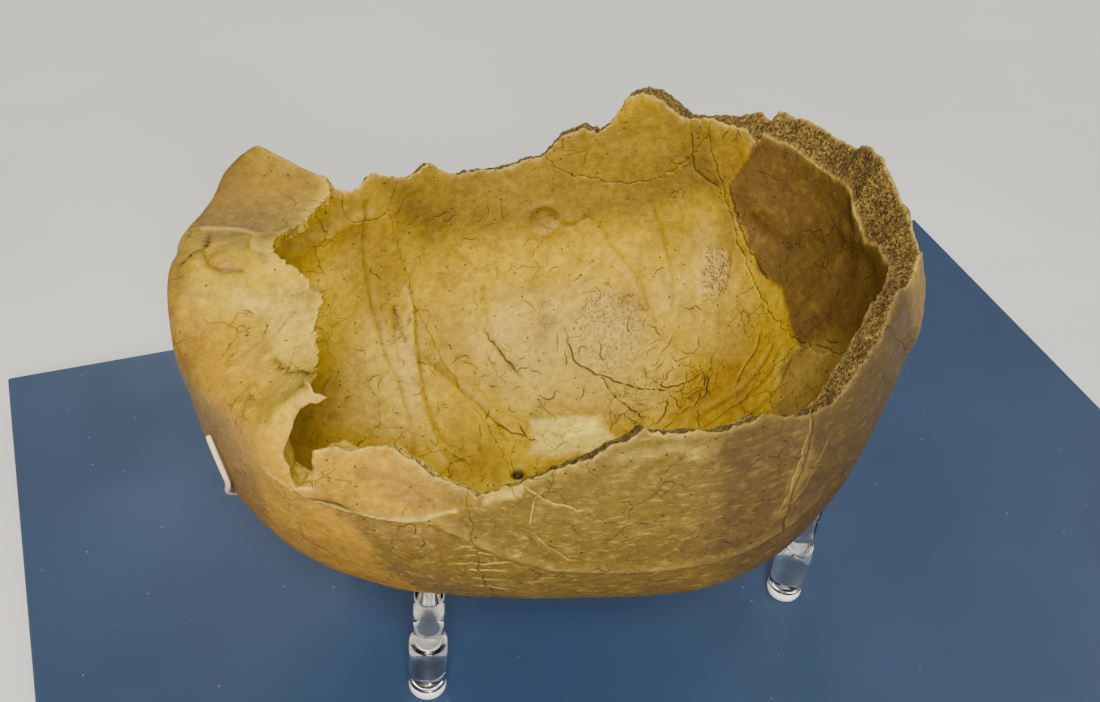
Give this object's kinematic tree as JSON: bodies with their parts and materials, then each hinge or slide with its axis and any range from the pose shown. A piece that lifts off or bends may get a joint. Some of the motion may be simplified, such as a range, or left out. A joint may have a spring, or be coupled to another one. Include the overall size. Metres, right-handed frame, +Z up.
{
  "type": "fossil human braincase on stand",
  "caption": "Broken fossil human braincase, open like a bowl and held upside down on clear rods over a flat board.",
  "frame": {"origin": "middle of the board's underside", "axes": "+X along the board's long side, from the forehead to the back of the head; +Y to the board's far side, where the skull's left side is; +Z up, out of the open underside of the braincase"},
  "size_m": [0.3754, 0.28, 0.1523],
  "materials": {
    "frontal_bone": "old fossil bone, dry and matt",
    "sphenoid_bone": "old fossil bone, dry and matt",
    "parietal_bone_left": "old fossil bone, dry and matt",
    "parietal_bone_right": "old fossil bone, dry and matt",
    "temporal_bone": "old fossil bone, dry and matt",
    "occipital_bone": "old fossil bone, dry and matt",
    "blue_board": "satin blue paint",
    "pale_prong": "smooth off-white",
    "clear_acrylic": "polished clear acrylic"
  },
  "bodies": {
    "root": {"frontal_bone": "frontal_bone", "sphenoid_wing_left": "sphenoid_bone", "parietal_left": "parietal_bone_left", "parietal_right": "parietal_bone_right", "temporal_left": "temporal_bone", "occipital_bone": "occipital_bone", "stand_base": "blue_board", "stand_prong": "pale_prong", "stand_rod_front": "clear_acrylic", "stand_rod_right": "clear_acrylic", "stand_rod_left": "clear_acrylic", "stand_rod_back": "clear_acrylic"}
  },
  "joints": []
}
